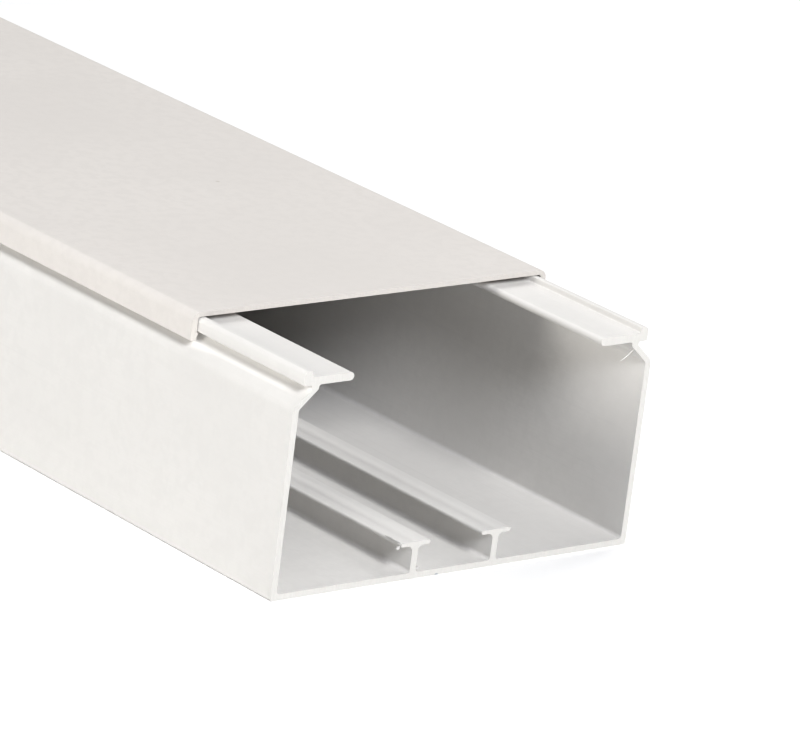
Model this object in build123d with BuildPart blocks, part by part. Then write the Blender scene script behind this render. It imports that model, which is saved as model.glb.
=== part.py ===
from build123d import *
import math
import os

# Surface cable trunking: an open-topped base channel and a clip-over cover, both of white rigid PVC.
# Both are straight extrusions. The section lies in X and Z, the length runs along Y, the near end is at
# low Y, and the origin is the middle of the base's underside. All sizes are in millimetres.

# Stock length and place of the cover
length = 1000.0             # base and cover are cut to one length
cover_setback = 37.0        # the cover is drawn back this far from the base's near end

# Base channel: floor and walls
width = 100.0               # over the outer walls
base_height = 49.6          # underside of the floor to the flat tops of the flanges
floor = 1.4
wall = 1.5
foot_round = 0.6            # outer corners along the underside
floor_corner_round = 0.9    # inner corners between floor and walls

# Base channel: sloped shoulders and necks below the heads
neck_inset = 4.4            # outer wall face to the outer face of the neck
neck_thickness = 1.8
neck_height = 0.9           # straight part of the neck below the head
neck_round = 0.4
shoulder_drop = 3.9         # height of the shoulder's outer slope
shoulder_thickness = 1.25
shoulder_round_out = 2.2
shoulder_round_in = 1.2

# Base channel: heads, each a flange that reaches inwards and a raised bead that the cover snaps over
mouth = 69.2                # open width between the flange tips
flange_thickness = 1.8
bead_inset = 2.05           # outer wall face to the outermost point of the bead
bead_width = 2.05
bead_rise = 1.4             # top of the bead above the flat of the flange
bead_catch_round = 0.4      # lower outer corner, which the nib of the cover catches

# Base channel: two T-shaped rails on the floor, for clips and dividers
rail_spacing = 22.6         # between the stems
rail_height = 8.5           # underside of the floor to the top of the bar
rail_stem = 1.6
rail_bar_width = 8.1
rail_bar_thickness = 0.9
rail_foot_round = 0.8       # where the stem meets the floor
rail_bar_round = 1.4        # where the stem meets the bar

# Cover: a flat plate with skirts whose nibs catch below the beads
slide_gap = 0.2             # clearance of the cover to the beads
plate = 1.1
plate_corner_round = 0.5    # inner corner between plate and skirt
skirt = 1.5
skirt_round = 2.0           # outer edge between plate and skirt
skirt_lip = 0.4             # plain edge of the skirt below the nib
nib_reach = 0.25            # how far the nib passes below the bead
nib_height = 1.2            # height of the nib's sloped lower face
nib_round = 0.1

# Levels and faces of the base's section that follow from the sizes above
half_width = width / 2
wall_inside = half_width - wall
flange_low = base_height - flange_thickness
flange_tip = mouth / 2
tip_round = 0.48 * flange_thickness
neck_out = half_width - neck_inset
neck_in = neck_out - neck_thickness
neck_low = flange_low - neck_height
shoulder_low = neck_low - shoulder_drop
shoulder_slope = shoulder_drop / neck_inset
shoulder_depth = shoulder_thickness * math.hypot(1, shoulder_slope)     # thickness measured along Z
neck_low_inside = neck_low - shoulder_depth + shoulder_slope * neck_thickness
wall_top_inside = neck_low - shoulder_depth - shoulder_slope * (wall_inside - neck_out)
flange_root_round = 0.6 * (flange_low - neck_low_inside)
bead_out = half_width - bead_inset
bead_in = bead_out - bead_width
bead_top = base_height + bead_rise
bead_round = 0.5 * bead_width
bead_inner_round = 0.2 * bead_rise
bead_foot_round = 0.3 * bead_rise
rail_middle = rail_spacing / 2
rail_bar_low = rail_height - rail_bar_thickness
bar_edge_round = 0.4 * rail_bar_thickness

# Levels and faces of the cover's section
plate_low = bead_top + slide_gap
plate_top = plate_low + plate
skirt_in = bead_out + slide_gap
skirt_out = skirt_in + skirt
nib_in = bead_out - nib_reach
nib_top = flange_low - slide_gap
nib_low = nib_top - nib_height
skirt_low = nib_low - skirt_lip
skirt_lip_round = 0.6 * skirt_lip


def corner_points(corners):
    """Points of a half outline whose corners are given as (x, z, radius)."""
    return [(x, z) for x, z, _ in corners]


def corner_radii(corners):
    """Radii of a half outline's corners, without its two ends on the centre line."""
    return [radius for _, _, radius in corners[1:-1]]


def rail_corners(middle):
    """Corners of one T-shaped rail, from the wall side of its stem to the centre side."""
    stem_wall_side = middle + rail_stem / 2
    stem_centre_side = middle - rail_stem / 2
    bar_wall_side = middle + rail_bar_width / 2
    bar_centre_side = middle - rail_bar_width / 2
    return [
        (stem_wall_side, floor, rail_foot_round),
        (stem_wall_side, rail_bar_low, rail_bar_round),
        (bar_wall_side, rail_bar_low, bar_edge_round),
        (bar_wall_side, rail_height, bar_edge_round),
        (bar_centre_side, rail_height, bar_edge_round),
        (bar_centre_side, rail_bar_low, bar_edge_round),
        (stem_centre_side, rail_bar_low, rail_bar_round),
        (stem_centre_side, floor, rail_foot_round),
    ]


base_corners = [
    (0, 0, 0),
    (half_width, 0, foot_round),
    (half_width, shoulder_low, shoulder_round_out),
    (neck_out, neck_low, neck_round),
    (neck_out, flange_low, neck_round),
    (bead_out, flange_low, bead_catch_round),
    (bead_out, bead_top, bead_round),
    (bead_in, bead_top, bead_inner_round),
    (bead_in, base_height, bead_foot_round),
    (flange_tip, base_height, tip_round),
    (flange_tip, flange_low, tip_round),
    (neck_in, flange_low, flange_root_round),
    (neck_in, neck_low_inside, neck_round),
    (wall_inside, wall_top_inside, shoulder_round_in),
    (wall_inside, floor, floor_corner_round),
    *rail_corners(rail_middle),
    (0, floor, 0),
]

cover_corners = [
    (0, plate_top, 0),
    (skirt_out, plate_top, skirt_round),
    (skirt_out, skirt_low, skirt_lip_round),
    (skirt_in, skirt_low, skirt_lip_round),
    (skirt_in, nib_low, 0),
    (nib_in, nib_top, nib_round),
    (skirt_in, nib_top, 0),
    (skirt_in, plate_low, plate_corner_round),
    (0, plate_low, 0),
]

base_far_end = Plane.XZ.offset(-length / 2)
cover_far_end = base_far_end.offset(-cover_setback)

with BuildPart() as base_channel:
    with BuildSketch(base_far_end):
        with BuildLine() as half_outline:
            FilletPolyline(*corner_points(base_corners), radius=corner_radii(base_corners))
            Line(half_outline.line @ 1, half_outline.line @ 0)
        make_face()
        mirror(about=Plane.YZ)
    extrude(amount=length)
base_channel.part.label = "base_channel"

with BuildPart() as cover:
    with BuildSketch(cover_far_end):
        with BuildLine() as half_outline:
            FilletPolyline(*corner_points(cover_corners), radius=corner_radii(cover_corners))
            Line(half_outline.line @ 1, half_outline.line @ 0)
        make_face()
        mirror(about=Plane.YZ)
    extrude(amount=length)
cover.part.label = "cover"

os.makedirs("parts", exist_ok=True)
for piece in (base_channel.part, cover.part):
    export_step(piece, f"parts/{piece.label}.step")
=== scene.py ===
import math
import random

import bmesh
import bpy
from mathutils import Matrix, Vector


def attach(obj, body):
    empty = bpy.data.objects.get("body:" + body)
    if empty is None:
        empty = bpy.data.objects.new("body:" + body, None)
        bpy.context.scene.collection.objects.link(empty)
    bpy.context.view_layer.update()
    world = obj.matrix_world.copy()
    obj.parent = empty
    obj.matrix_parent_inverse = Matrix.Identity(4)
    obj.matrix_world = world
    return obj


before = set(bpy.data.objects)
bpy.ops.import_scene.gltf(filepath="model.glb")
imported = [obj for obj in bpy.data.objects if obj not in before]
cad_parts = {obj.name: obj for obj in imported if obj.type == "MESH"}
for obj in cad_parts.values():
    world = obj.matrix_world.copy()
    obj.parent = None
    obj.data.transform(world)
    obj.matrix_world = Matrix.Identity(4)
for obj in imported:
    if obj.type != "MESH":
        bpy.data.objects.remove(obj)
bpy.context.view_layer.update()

# The frame is in metres. Lengths in other units are multiplied by one of these.
MM = 0.001
MICROMETRE = 0.000001

# Camera, fitted to the photograph's edges in the part's frame
EYE = Vector((-0.81871, -1.40903, 0.43608))
AZIMUTH = math.radians(-41.2208)
ELEVATION = math.radians(17.7212)
ROLL = math.radians(7.3085)
LENS_MM = 270.442
SENSOR_MM = 36.0
CLIP_NEAR = 0.05
CLIP_FAR = 100.0

# Softboxes: azimuth and elevation in degrees, side of the square in metres, power in watts, colour
LIGHT_AIM = Vector((0.0, -0.35, 0.03))
LIGHT_DISTANCE = 4.0
LIGHTS = {
    "side": (-96.0, 14.0, 1.0, 58.0, (1.0, 0.975, 0.925)),
    "front_low": (-15.0, 31.0, 0.85, 115.0, (0.935, 0.955, 1.0)),
    "front_high": (-12.0, 42.0, 0.85, 68.0, (1.0, 0.995, 0.990)),
    "back_right": (120.0, 45.0, 2.0, 52.0, (1.0, 0.988, 0.975)),
    "overhead": (180.0, 75.0, 2.0, 14.0, (1.0, 0.995, 0.981)),
    "back": (172.0, 35.0, 2.0, 13.0, (1.0, 0.995, 0.981)),
}
SKY_COLOUR = (1.0, 0.997, 0.980)
SKY_STRENGTH = 0.11
DISPLAY_GAMMA = 0.82

# Levels and faces of the section, in millimetres, as in the part's source
NEAR_END = -500.0
COVER_END = -463.0
NECK_IN = 43.8
HEAD_LOW = 47.8
HEAD_TOP = 49.6
RAIL_MIDDLE = 11.3
RAIL_STEM = 1.6
RAIL_HEIGHT = 8.5
RAIL_BAR_HALF = 4.05
LEFT_BAR_TIP = -RAIL_MIDDLE - RAIL_BAR_HALF
LEFT_STEM_SIDE = -RAIL_MIDDLE + RAIL_STEM / 2

# Hollow along each rail's top, in millimetres, and the levels over which a rail's top begins
SINK_HALF_WIDTH = 2.4
SINK_DEPTH = 0.25
RAIL_TOP_BEGINS = (RAIL_HEIGHT - 0.5, RAIL_HEIGHT - 0.2)

# Painted light on the base, in millimetres: a whiter tone that lifts the groove's shade. The middle of the
# groove below each head, how far this painted light reaches in the open part and below the cover, and where
# it fades at the near end
GROOVE_ACROSS = 46.8
GROOVE_UP = 46.2
GROOVE_FULL_LIGHT = 1.2
GROOVE_EDGE_OPEN = 2.1
GROOVE_EDGE_COVERED = 3.4
GROOVE_EDGE_CHANGES = (COVER_END - 7.0, COVER_END + 1.0)
GROOVE_FADES = (NEAR_END, NEAR_END + 9.0)
BAR_EDGE = (RAIL_BAR_HALF, RAIL_BAR_HALF + 0.3)

# Shares of the whiter tone on the heads' and rails' tops: painted highlight that lightens the tops
HEAD_PAINTED_LIGHT = 0.25
RAIL_PAINTED_LIGHT = 0.5

# Painted shade of nicks in the floor's cut edge, a dark spot with no dent in the geometry: centre, and
# reach along each axis, in millimetres
NICK_SHADES = [((-4.4, NEAR_END, 0.05), (0.60, 0.80, 0.40))]

# Burrs: where along the length they sit, in millimetres, and the make of a shaving
BURR_Y = NEAR_END + 0.6
SHAVING_SIDES = 10
SHAVING_UNEVEN = (0.86, 1.14)
SHAVING_FLATNESS = 0.72
SHAVING_SUBDIVISIONS = 2

# Colours, linear
BASE_WHITE = (0.729, 0.718, 0.700)
COVER_WHITE = (0.713, 0.686, 0.660)
SPECK_BROWN = (0.42, 0.38, 0.32)
RUB_GREY = (0.62, 0.61, 0.60)
# Painted shade of the nick in the floor's cut edge
NICK_SHADE_GREY = (0.26, 0.28, 0.31)
SAWN_TINT = (1.0, 0.994, 0.972)
FLOOR_DARKER = (0.985, 0.985, 0.985)
FLOOR_LIGHTER = (0.995, 0.995, 0.995)

# Tones as factors of the white, and shares of the surface's colour that each effect takes
CLOUD_TONES = (0.980, 1.015)
MOTTLING_TONE = 0.965
MOTTLING_SHARE = 0.6
LINE_TONE = 0.975
LINE_SHARE = 0.5
SPECK_SHARE = 0.35
RUB_SHARE = 0.12
# Painted light: the whiter tone that lifts the grooves' shade and lightens the tops of the heads and rails
PAINTED_LIGHT_TONE = 1.15
SAWN_TONES = (0.76, 0.85)
# Share of the painted shade at the nick
NICK_SHADE_SHARE = 0.8
TORN_TONES = (0.72, 0.86)

# Strength of the die's lines on each piece, and the shift of the cover's pattern against the base's
BASE_LINES = 0.8
COVER_LINES = 0.2
COVER_SHIFT = 3.7
SHIFT_WAY = Vector((1.0, 0.37, 0.61))

# Scales of the patterns, per metre, as one number or as X, Y and Z
EVEN = (1.0, 1.0, 1.0)
BROAD_LINES = (420.0, 0.7, 420.0)
FINE_LINES = (1900.0, 2.5, 1900.0)
RUB_LINES = (900.0, 11.0, 900.0)
SAW_LINES = (2600.0, 1.0, 300.0)
RIPPLE_SCALE = 140.0
MOTTLING_SCALE = 330.0
SKIN_SCALE = 1900.0
SPECK_SCALE = 85.0
RUB_PLACE_SCALE = 9.0
CLOUD_SCALE = 22.0
TORN_SCALE = 2400.0
FLOOR_SCALE = 3.0

# Ranges over which an effect comes in
NOISE_RANGE = (0.30, 0.70)
MOTTLING_RANGE = (0.40, 0.65)
RUB_LINE_RANGE = (0.60, 0.72)
RUB_PLACE_RANGE = (0.50, 0.64)
SPECK_EDGE = (0.025, 0.060)
SPECK_CHOICE = (0.80, 0.84)
SAWN_NORMAL = (0.80, 0.95)
NICK_SHADE_EDGE = (0.55, 1.0)

# Gloss
PVC_IOR = 1.53
PVC_SHINE = 0.25
SATIN = 0.50
SATIN_SPREAD = 0.04
MOTTLING_ROUGHER = 0.04
RUB_ROUGHER = 0.10
SAWN_ROUGHER = 0.28
TORN_ROUGHNESS = (0.45, 0.65)
FLOOR_ROUGHNESS = 0.9

# Relief in micrometres
BROAD_RELIEF = 18.0
FINE_RELIEF = 8.0
RIPPLE_RELIEF = 45.0
MOTTLING_RELIEF = 8.0
SKIN_RELIEF = 5.0
SAW_RELIEF = 50.0
TORN_RELIEF = 25.0

# Half the floor's side, in metres
FLOOR_HALF = 30.0

# Sockets of a mix node that is set to colours
MIX_FACTOR = 0
MIX_FIRST = 6
MIX_SECOND = 7
MIX_RESULT = 2


class Nodes:
    """A material's node tree with short calls for the nodes that the finishes share."""

    def __init__(self, name):
        self.material = bpy.data.materials.new(name)
        self.material.use_nodes = True
        self.tree = self.material.node_tree
        self.tree.nodes.clear()
        output = self.add("ShaderNodeOutputMaterial")
        self.shader = self.add("ShaderNodeBsdfPrincipled")
        self.link(self.shader.outputs["BSDF"], output.inputs["Surface"])
        self.place = self.add("ShaderNodeTexCoord")

    def add(self, kind):
        return self.tree.nodes.new(kind)

    def link(self, source, target):
        self.tree.links.new(source, target)

    def feed(self, socket, value):
        """Sets a socket to a plain value or links it to another node's output."""
        if isinstance(value, bpy.types.NodeSocket):
            self.link(value, socket)
        else:
            socket.default_value = value

    def axes(self, kind):
        """X, Y and Z of the object coordinates in metres, or of the normal."""
        node = self.add("ShaderNodeSeparateXYZ")
        self.link(self.place.outputs[kind], node.inputs["Vector"])
        return node.outputs["X"], node.outputs["Y"], node.outputs["Z"]

    def stretched(self, scale, shift=0.0):
        """Object coordinates in metres, multiplied along each axis and shifted."""
        node = self.add("ShaderNodeMapping")
        node.inputs["Scale"].default_value = scale
        node.inputs["Location"].default_value = SHIFT_WAY * shift
        self.link(self.place.outputs["Object"], node.inputs["Vector"])
        return node.outputs["Vector"]

    def reaches_from(self, centre, reach):
        """Distance from a centre, counted in reaches along each axis, both given in millimetres."""
        node = self.add("ShaderNodeMapping")
        node.vector_type = "TEXTURE"
        node.inputs["Location"].default_value = Vector(centre) * MM
        node.inputs["Scale"].default_value = Vector(reach) * MM
        self.link(self.place.outputs["Object"], node.inputs["Vector"])
        length = self.add("ShaderNodeVectorMath")
        length.operation = "LENGTH"
        self.link(node.outputs["Vector"], length.inputs[0])
        return length.outputs["Value"]

    def noise(self, vector, scale=1.0, detail=0.0, roughness=0.5):
        node = self.add("ShaderNodeTexNoise")
        self.link(vector, node.inputs["Vector"])
        node.inputs["Scale"].default_value = scale
        node.inputs["Detail"].default_value = detail
        node.inputs["Roughness"].default_value = roughness
        return node.outputs["Fac"]

    def cells(self, vector, scale):
        """Distance to the nearest cell point, and a random colour for each cell."""
        node = self.add("ShaderNodeTexVoronoi")
        self.link(vector, node.inputs["Vector"])
        node.inputs["Scale"].default_value = scale
        return node.outputs["Distance"], node.outputs["Color"]

    def math(self, operation, first, second=0.0, third=0.0):
        node = self.add("ShaderNodeMath")
        node.operation = operation
        for socket, value in zip(node.inputs, (first, second, third)):
            self.feed(socket, value)
        return node.outputs["Value"]

    def remap(self, value, low, high, out_low, out_high):
        """Goes smoothly from one result to another while a value goes from low to high."""
        node = self.add("ShaderNodeMapRange")
        node.interpolation_type = "SMOOTHSTEP"
        for socket, number in zip(node.inputs, (value, low, high, out_low, out_high)):
            self.feed(socket, number)
        return node.outputs["Result"]

    def remap_mm(self, value, levels, out_low, out_high):
        """The same for a coordinate in metres and two levels in millimetres."""
        low, high = levels
        return self.remap(value, low * MM, high * MM, out_low, out_high)

    def mix(self, factor, first, second):
        node = self.add("ShaderNodeMix")
        node.data_type = "RGBA"
        self.feed(node.inputs[MIX_FACTOR], factor)
        self.feed(node.inputs[MIX_FIRST], first)
        self.feed(node.inputs[MIX_SECOND], second)
        return node.outputs[MIX_RESULT]

    def sum(self, terms):
        """Sum of (output, factor) pairs."""
        total = 0.0
        for value, factor in terms:
            total = self.math("MULTIPLY_ADD", value, factor, total)
        return total

    def relief(self, height):
        """Bumps the shader's normal by a height in micrometres."""
        node = self.add("ShaderNodeBump")
        node.inputs["Distance"].default_value = MICROMETRE
        self.link(height, node.inputs["Height"])
        self.link(node.outputs["Normal"], self.shader.inputs["Normal"])


def opaque(colour):
    return (*colour, 1.0)


def shade(colour, factor):
    return opaque([channel * factor for channel in colour])


def distance_from_stem(n, x):
    """Distance across from the middle of the nearer rail, in metres."""
    from_centre = n.math("ABSOLUTE", x)
    return n.math("ABSOLUTE", n.math("SUBTRACT", from_centre, RAIL_MIDDLE * MM))


def rail_sink(n):
    """Height in micrometres of the hollow that cooling leaves along each rail's top, above the stem."""
    x, _, z = n.axes("Object")
    depth = SINK_DEPTH * MM / MICROMETRE
    hollow = n.remap_mm(distance_from_stem(n, x), (0.0, SINK_HALF_WIDTH), -depth, 0.0)
    on_top = n.remap_mm(z, RAIL_TOP_BEGINS, 0.0, 1.0)
    return n.math("MULTIPLY", hollow, on_top)


def painted_groove_light(n, x, y, z):
    """Share of the whiter tone painted into the grooves below the heads: painted light that lifts their
    shade.
    """
    across = n.math("SUBTRACT", n.math("ABSOLUTE", x), GROOVE_ACROSS * MM)
    up = n.math("SUBTRACT", z, GROOVE_UP * MM)
    away = n.math("SQRT", n.math("MULTIPLY_ADD", across, across, n.math("MULTIPLY", up, up)))
    edge = n.remap_mm(y, GROOVE_EDGE_CHANGES, GROOVE_EDGE_OPEN * MM, GROOVE_EDGE_COVERED * MM)
    in_groove = n.remap(away, GROOVE_FULL_LIGHT * MM, edge, 1.0, 0.0)
    off_end = n.remap_mm(y, GROOVE_FADES, 0.0, 1.0)
    return n.math("MULTIPLY", in_groove, off_end)


def painted_light_share(n):
    """Share of painted light on the base: a whiter tone that lifts the grooves' shade and lightens the tops
    of the heads and of the rails.
    """
    x, y, z = n.axes("Object")
    groove = painted_groove_light(n, x, y, z)
    head = n.remap_mm(z, (HEAD_LOW, HEAD_TOP), 0.0, HEAD_PAINTED_LIGHT)
    on_bar = n.remap_mm(distance_from_stem(n, x), BAR_EDGE, RAIL_PAINTED_LIGHT, 0.0)
    on_top = n.remap_mm(z, RAIL_TOP_BEGINS, 0.0, 1.0)
    rail = n.math("MULTIPLY", on_bar, on_top)
    return n.math("MAXIMUM", groove, n.math("MAXIMUM", head, rail))


def specks(n, place):
    """Share of faint specks in the plastic, one in some of the cells."""
    distance, colour = n.cells(place, SPECK_SCALE)
    chosen = n.add("ShaderNodeSeparateColor")
    n.link(colour, chosen.inputs["Color"])
    near = n.remap(distance, *SPECK_EDGE, 1.0, 0.0)
    picked = n.remap(chosen.outputs["Red"], *SPECK_CHOICE, 0.0, 1.0)
    return n.math("MULTIPLY", near, picked)


def rub_marks(n, place, shift):
    """Share of light rub marks along the length, in some places."""
    lines = n.noise(n.stretched(RUB_LINES, shift), detail=1.0, roughness=0.7)
    where = n.noise(place, RUB_PLACE_SCALE)
    return n.math(
        "MULTIPLY",
        n.remap(lines, *RUB_LINE_RANGE, 0.0, 1.0),
        n.remap(where, *RUB_PLACE_RANGE, 0.0, 1.0),
    )


def extruded_pvc(name, white, line_strength, shift, hollow=None, painted_light=None, nick_shades=()):
    """White rigid PVC from a die: faint lines along the length, a mottled satin skin, specks, sawn ends."""
    n = Nodes(name)
    place = n.stretched(EVEN, shift)

    # Sawn faces look along the length
    _, along, _ = n.axes("Normal")
    sawn = n.remap(n.math("ABSOLUTE", along), *SAWN_NORMAL, 0.0, 1.0)
    drawn = n.math("SUBTRACT", 1.0, sawn)

    # Lines left by the die, a slow ripple, the skin's mottling and grain, and the teeth of the saw
    broad_lines = n.noise(n.stretched(BROAD_LINES, shift), detail=1.0)
    fine_lines = n.noise(n.stretched(FINE_LINES, shift), detail=1.0, roughness=0.6)
    ripple = n.noise(place, RIPPLE_SCALE)
    mottling = n.noise(place, MOTTLING_SCALE, detail=2.0, roughness=0.6)
    skin = n.noise(place, SKIN_SCALE)
    saw_marks = n.noise(n.stretched(SAW_LINES, shift), detail=2.0, roughness=0.6)
    rub = rub_marks(n, place, shift)

    # Colour, with a tone that drifts over the surface
    cloud = n.noise(place, CLOUD_SCALE, detail=2.0, roughness=0.55)
    darker, lighter = [shade(white, factor) for factor in CLOUD_TONES]
    tone = n.mix(n.remap(cloud, *NOISE_RANGE, 0.0, 1.0), darker, lighter)
    mottled = n.remap(mottling, *MOTTLING_RANGE, 0.0, MOTTLING_SHARE)
    tone = n.mix(mottled, tone, shade(white, MOTTLING_TONE))
    lined = n.remap(fine_lines, *NOISE_RANGE, 0.0, LINE_SHARE * line_strength)
    tone = n.mix(lined, tone, shade(white, LINE_TONE))
    tone = n.mix(n.math("MULTIPLY", specks(n, place), SPECK_SHARE), tone, opaque(SPECK_BROWN))
    tone = n.mix(n.math("MULTIPLY", rub, RUB_SHARE * line_strength), tone, opaque(RUB_GREY))
    # Painted light: a whiter tone in the grooves below the heads and on the heads' and rails' tops
    if painted_light:
        tone = n.mix(painted_light(n), tone, shade(white, PAINTED_LIGHT_TONE))
    sawn_white = [channel * tint for channel, tint in zip(white, SAWN_TINT)]
    sawn_darker, sawn_lighter = [shade(sawn_white, factor) for factor in SAWN_TONES]
    tone = n.mix(sawn, tone, n.mix(saw_marks, sawn_darker, sawn_lighter))
    # Painted shade of nicks: a dark grey spot where the edge is nicked, with no dent in the geometry
    for centre, reach in nick_shades:
        nick_shade = n.remap(n.reaches_from(centre, reach), *NICK_SHADE_EDGE, 1.0, 0.0)
        tone = n.mix(n.math("MULTIPLY", nick_shade, NICK_SHADE_SHARE), tone, opaque(NICK_SHADE_GREY))
    n.link(tone, n.shader.inputs["Base Color"])

    # Gloss
    spread = SATIN_SPREAD * line_strength
    satin = n.remap(broad_lines, *NOISE_RANGE, SATIN - spread, SATIN + spread)
    rough = n.sum((
        (satin, 1.0),
        (mottling, MOTTLING_ROUGHER),
        (rub, RUB_ROUGHER * line_strength),
        (sawn, SAWN_ROUGHER),
    ))
    n.link(rough, n.shader.inputs["Roughness"])
    n.shader.inputs["IOR"].default_value = PVC_IOR
    n.shader.inputs["Specular IOR Level"].default_value = PVC_SHINE

    # Relief
    lines = n.sum((
        (broad_lines, BROAD_RELIEF * line_strength),
        (fine_lines, FINE_RELIEF * line_strength),
        (ripple, RIPPLE_RELIEF),
        (mottling, MOTTLING_RELIEF),
        (skin, SKIN_RELIEF),
    ))
    if hollow:
        lines = n.math("ADD", lines, hollow(n))
    drawn_relief = n.math("MULTIPLY", lines, drawn)
    n.relief(n.math("MULTIPLY_ADD", n.math("MULTIPLY", saw_marks, sawn), SAW_RELIEF, drawn_relief))
    return n.material


def swarf_pvc(name):
    """Torn shavings: the same PVC, uneven and a little duller, with a rough skin."""
    n = Nodes(name)
    torn = n.noise(n.stretched(EVEN), TORN_SCALE, detail=2.0, roughness=0.6)
    darker, lighter = [shade(BASE_WHITE, factor) for factor in TORN_TONES]
    n.link(n.mix(torn, darker, lighter), n.shader.inputs["Base Color"])
    n.link(n.remap(torn, *NOISE_RANGE, *TORN_ROUGHNESS), n.shader.inputs["Roughness"])
    n.shader.inputs["IOR"].default_value = PVC_IOR
    n.relief(n.math("MULTIPLY", torn, TORN_RELIEF))
    return n.material


def finish_nodes():
    # The base takes painted light in its grooves and on its tops, and painted shade at a nick in its cut
    # edge
    base = extruded_pvc("base_pvc_extruded", BASE_WHITE, BASE_LINES, 0.0, rail_sink, painted_light_share, NICK_SHADES)
    cover = extruded_pvc("cover_pvc_extruded", COVER_WHITE, COVER_LINES, COVER_SHIFT)
    for node, material in (("base_channel", base), ("cover", cover)):
        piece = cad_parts[node]
        piece.data.materials.clear()
        piece.data.materials.append(material)


def shaving_ring(mesh, centre, turn, radius, draw):
    """One uneven, flattened ring of a shaving's points."""
    ring = []
    for side in range(SHAVING_SIDES):
        angle = 2 * math.pi * side / SHAVING_SIDES
        uneven = radius * draw.uniform(*SHAVING_UNEVEN)
        offset = Vector((math.cos(angle) * uneven, math.sin(angle) * uneven * SHAVING_FLATNESS, 0.0))
        ring.append(mesh.verts.new(centre + turn @ offset))
    return ring


def shaving(name, path, radii, material, seed):
    """A curl of swarf: an uneven tube along points in millimetres, closed at both ends."""
    draw = random.Random(seed)
    points = [Vector(point) * MM for point in path]
    mesh = bmesh.new()
    rings = []
    for index, centre in enumerate(points):
        before = points[max(index - 1, 0)]
        after = points[min(index + 1, len(points) - 1)]
        turn = (after - before).to_track_quat("Z", "Y")
        rings.append(shaving_ring(mesh, centre, turn, radii[index] * MM, draw))
    for low, high in zip(rings, rings[1:]):
        for side in range(SHAVING_SIDES):
            following = (side + 1) % SHAVING_SIDES
            mesh.faces.new((low[side], low[following], high[following], high[side]))
    mesh.faces.new(list(reversed(rings[0])))
    mesh.faces.new(rings[-1])
    bmesh.ops.recalc_face_normals(mesh, faces=mesh.faces)
    for face in mesh.faces:
        face.smooth = True
    data = bpy.data.meshes.new(name)
    mesh.to_mesh(data)
    mesh.free()
    piece = bpy.data.objects.new(name, data)
    bpy.context.scene.collection.objects.link(piece)
    piece.data.materials.append(material)
    smooth = piece.modifiers.new("smooth", "SUBSURF")
    smooth.levels = SHAVING_SUBDIVISIONS
    smooth.render_levels = SHAVING_SUBDIVISIONS
    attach(piece, "base")


def neck_burr(material):
    """A whisker that hangs into the channel below the right head."""
    shaving(
        "burr_neck",
        [
            (NECK_IN + 1.60, BURR_Y + 0.2, 46.06),
            (NECK_IN + 1.10, BURR_Y + 0.1, 45.72),
            (NECK_IN + 0.20, BURR_Y + 0.0, 45.10),
            (NECK_IN - 0.70, BURR_Y + 0.0, 44.47),
            (NECK_IN - 1.50, BURR_Y + 0.1, 43.93),
            (NECK_IN - 2.25, BURR_Y + 0.2, 43.40),
        ],
        [0.10, 0.10, 0.15, 0.17, 0.14, 0.06],
        material,
        seed=11,
    )


def bar_droplet(material):
    """A droplet at the tip of the left rail's bar."""
    shaving(
        "burr_rail_left",
        [
            (LEFT_BAR_TIP + 0.50, BURR_Y + 0.3, 7.85),
            (LEFT_BAR_TIP + 0.15, BURR_Y + 0.2, 7.68),
            (LEFT_BAR_TIP - 0.10, BURR_Y + 0.2, 7.50),
            (LEFT_BAR_TIP - 0.32, BURR_Y + 0.2, 7.34),
            (LEFT_BAR_TIP - 0.55, BURR_Y + 0.2, 7.18),
            (LEFT_BAR_TIP - 0.75, BURR_Y + 0.3, 7.02),
        ],
        [0.20, 0.22, 0.42, 0.60, 0.56, 0.28],
        material,
        seed=12,
    )


def bar_fringe(material):
    """A ragged fringe along the edge of the left rail's bar."""
    shaving(
        "burr_rail_left_edge",
        [
            (LEFT_BAR_TIP + 0.20, BURR_Y - 0.2, RAIL_HEIGHT - 0.12),
            (LEFT_BAR_TIP + 0.12, BURR_Y + 1.0, RAIL_HEIGHT - 0.06),
            (LEFT_BAR_TIP + 0.05, BURR_Y + 2.2, RAIL_HEIGHT - 0.10),
            (LEFT_BAR_TIP + 0.12, BURR_Y + 3.1, RAIL_HEIGHT - 0.04),
            (LEFT_BAR_TIP + 0.08, BURR_Y + 4.3, RAIL_HEIGHT - 0.10),
            (LEFT_BAR_TIP + 0.20, BURR_Y + 5.6, RAIL_HEIGHT - 0.14),
        ],
        [0.14, 0.24, 0.16, 0.28, 0.18, 0.06],
        material,
        seed=15,
    )


def foot_burr(material):
    """A small lobe at the foot of the left rail's stem."""
    shaving(
        "burr_rail_left_foot",
        [
            (LEFT_STEM_SIDE - 0.20, BURR_Y - 0.15, 1.90),
            (LEFT_STEM_SIDE + 0.35, BURR_Y - 0.15, 2.02),
            (LEFT_STEM_SIDE + 0.80, BURR_Y - 0.15, 2.20),
            (LEFT_STEM_SIDE + 1.20, BURR_Y - 0.15, 2.46),
        ],
        [0.36, 0.40, 0.38, 0.22],
        material,
        seed=13,
    )


def make_burrs():
    material = swarf_pvc("base_pvc_swarf")
    neck_burr(material)
    bar_droplet(material)
    bar_fringe(material)
    foot_burr(material)


def floor_finish():
    n = Nodes("studio_floor")
    drift = n.noise(n.stretched(EVEN), FLOOR_SCALE, detail=3.0)
    tone = n.mix(drift, opaque(FLOOR_DARKER), opaque(FLOOR_LIGHTER))
    n.link(tone, n.shader.inputs["Base Color"])
    n.shader.inputs["Roughness"].default_value = FLOOR_ROUGHNESS
    return n.material


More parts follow.
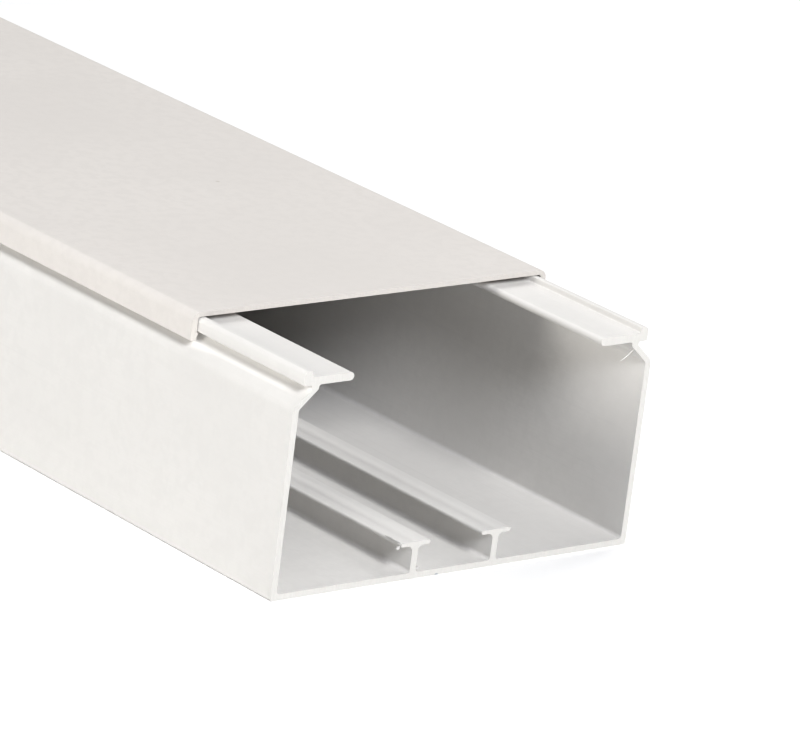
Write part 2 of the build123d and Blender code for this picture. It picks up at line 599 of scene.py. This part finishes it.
def make_floor():
    half = FLOOR_HALF
    mesh = bmesh.new()
    corners = [(-half, -half), (half, -half), (half, half), (-half, half)]
    mesh.faces.new([mesh.verts.new((x, y, 0.0)) for x, y in corners])
    data = bpy.data.meshes.new("floor")
    mesh.to_mesh(data)
    mesh.free()
    floor = bpy.data.objects.new("floor", data)
    bpy.context.scene.collection.objects.link(floor)
    floor.data.materials.append(floor_finish())


def direction(azimuth, elevation):
    """Unit vector at an azimuth and elevation in radians. Azimuth 0 is in front of the near end."""
    return Vector((
        math.sin(azimuth) * math.cos(elevation),
        -math.cos(azimuth) * math.cos(elevation),
        math.sin(elevation),
    ))


def softbox(name, azimuth, elevation, size, power, colour):
    towards = direction(math.radians(azimuth), math.radians(elevation))
    data = bpy.data.lights.new(name, "AREA")
    data.shape = "SQUARE"
    data.size = size
    data.energy = power
    data.color = colour
    light = bpy.data.objects.new(name, data)
    light.location = LIGHT_AIM + towards * LIGHT_DISTANCE
    light.rotation_mode = "QUATERNION"
    light.rotation_quaternion = (-towards).to_track_quat("-Z", "Y")
    light.visible_camera = False
    bpy.context.scene.collection.objects.link(light)


def make_lights():
    world = bpy.data.worlds.new("studio")
    bpy.context.scene.world = world
    world.use_nodes = True
    background = world.node_tree.nodes["Background"]
    background.inputs["Color"].default_value = opaque(SKY_COLOUR)
    background.inputs["Strength"].default_value = SKY_STRENGTH
    for name, light in LIGHTS.items():
        softbox(name, *light)


def make_camera():
    data = bpy.data.cameras.new("camera")
    data.lens = LENS_MM
    data.sensor_width = SENSOR_MM
    data.clip_start = CLIP_NEAR
    data.clip_end = CLIP_FAR
    camera = bpy.data.objects.new("camera", data)
    turn = (-direction(AZIMUTH, ELEVATION)).to_track_quat("-Z", "Y").to_matrix().to_4x4()
    camera.matrix_world = Matrix.Translation(EYE) @ turn @ Matrix.Rotation(ROLL, 4, "Z")
    bpy.context.scene.collection.objects.link(camera)
    bpy.context.scene.camera = camera


finish_nodes()
make_burrs()
make_floor()
make_lights()
make_camera()
bpy.context.scene.view_settings.view_transform = "Standard"
bpy.context.scene.view_settings.gamma = DISPLAY_GAMMA
